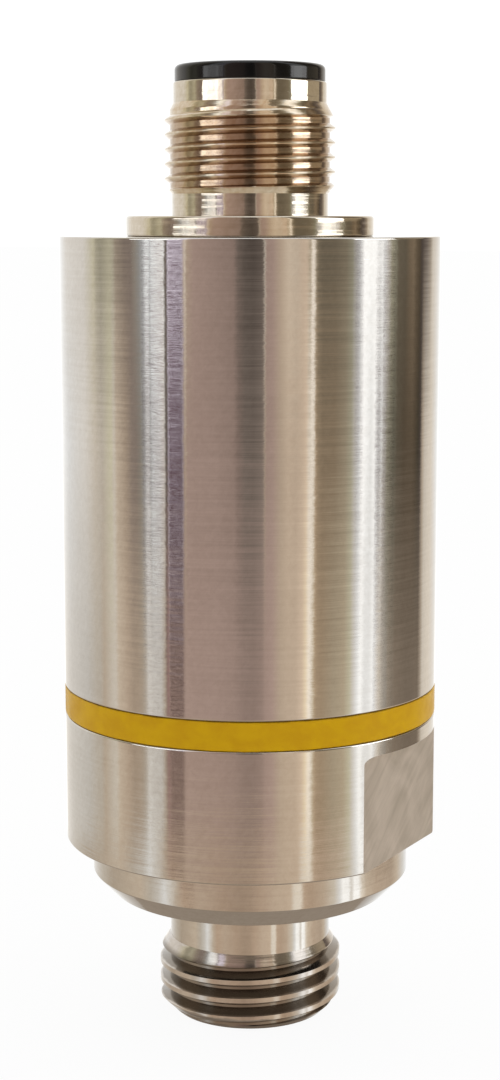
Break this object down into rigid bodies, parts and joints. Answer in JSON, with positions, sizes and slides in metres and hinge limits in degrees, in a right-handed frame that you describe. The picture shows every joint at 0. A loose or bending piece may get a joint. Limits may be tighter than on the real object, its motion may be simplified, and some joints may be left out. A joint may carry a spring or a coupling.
{
  "type": "pressure transmitter",
  "caption": "Slim round pressure transmitter: turned steel body with a yellow marker ring, spanner flats, a threaded pressure stud below and a round threaded plug connector on top.",
  "frame": {"origin": "on the body axis in the sealing face, the underside of the lower flange", "axes": "+Z along the body axis from the process thread towards the plug connector; +X out of one spanner flat; the contact insert's key faces +Y"},
  "size_m": [0.0266, 0.0266, 0.0677],
  "materials": {
    "housing_steel": "turned stainless steel, fine turning lines",
    "port_steel": "turned stainless steel, satin",
    "marker_plastic": "yellow moulded plastic, satin",
    "nickel_brass": "nickel-plated brass, bright turned",
    "insert_plastic": "black moulded plastic",
    "gold_pin": "gold-plated contact",
    "seal_rubber": "black fluoro rubber",
    "cell_steel": "ground stainless steel",
    "clamp_brass": "plain turned brass",
    "carrier_plastic": "natural moulded plastic",
    "sleeve_film": "translucent insulating film",
    "circuit_board": "green circuit board",
    "strip_film": "amber flexible circuit",
    "chip_plastic": "black moulded chip",
    "capacitor_ceramic": "tan ceramic",
    "tin_plate": "tin-plated pin"
  },
  "bodies": {
    "root": {"pressure_port": "port_steel", "port_seal_ring": "seal_rubber", "marker_ring": "marker_plastic", "housing": "housing_steel", "housing_seal_ring": "seal_rubber", "sensor_cell": "cell_steel", "cell_seal_ring": "seal_rubber", "cell_clamp_ring": "clamp_brass", "cell_strip": "strip_film", "board_carrier": "carrier_plastic", "insulating_sleeve": "sleeve_film", "amplifier_board": "circuit_board", "signal_chip": "chip_plastic", "voltage_regulator": "chip_plastic", "surge_diodes": "chip_plastic", "filter_capacitors": "capacitor_ceramic", "header_pins": "tin_plate", "header_strip": "chip_plastic", "connector_board": "circuit_board", "connector_shell": "nickel_brass", "connector_seal_ring": "seal_rubber", "connector_lock_nut": "nickel_brass", "connector_insert": "insert_plastic", "insert_seal_ring": "seal_rubber", "contact_pin_1": "gold_pin", "contact_pin_2": "gold_pin", "contact_pin_3": "gold_pin", "contact_pin_4": "gold_pin"}
  },
  "joints": []
}
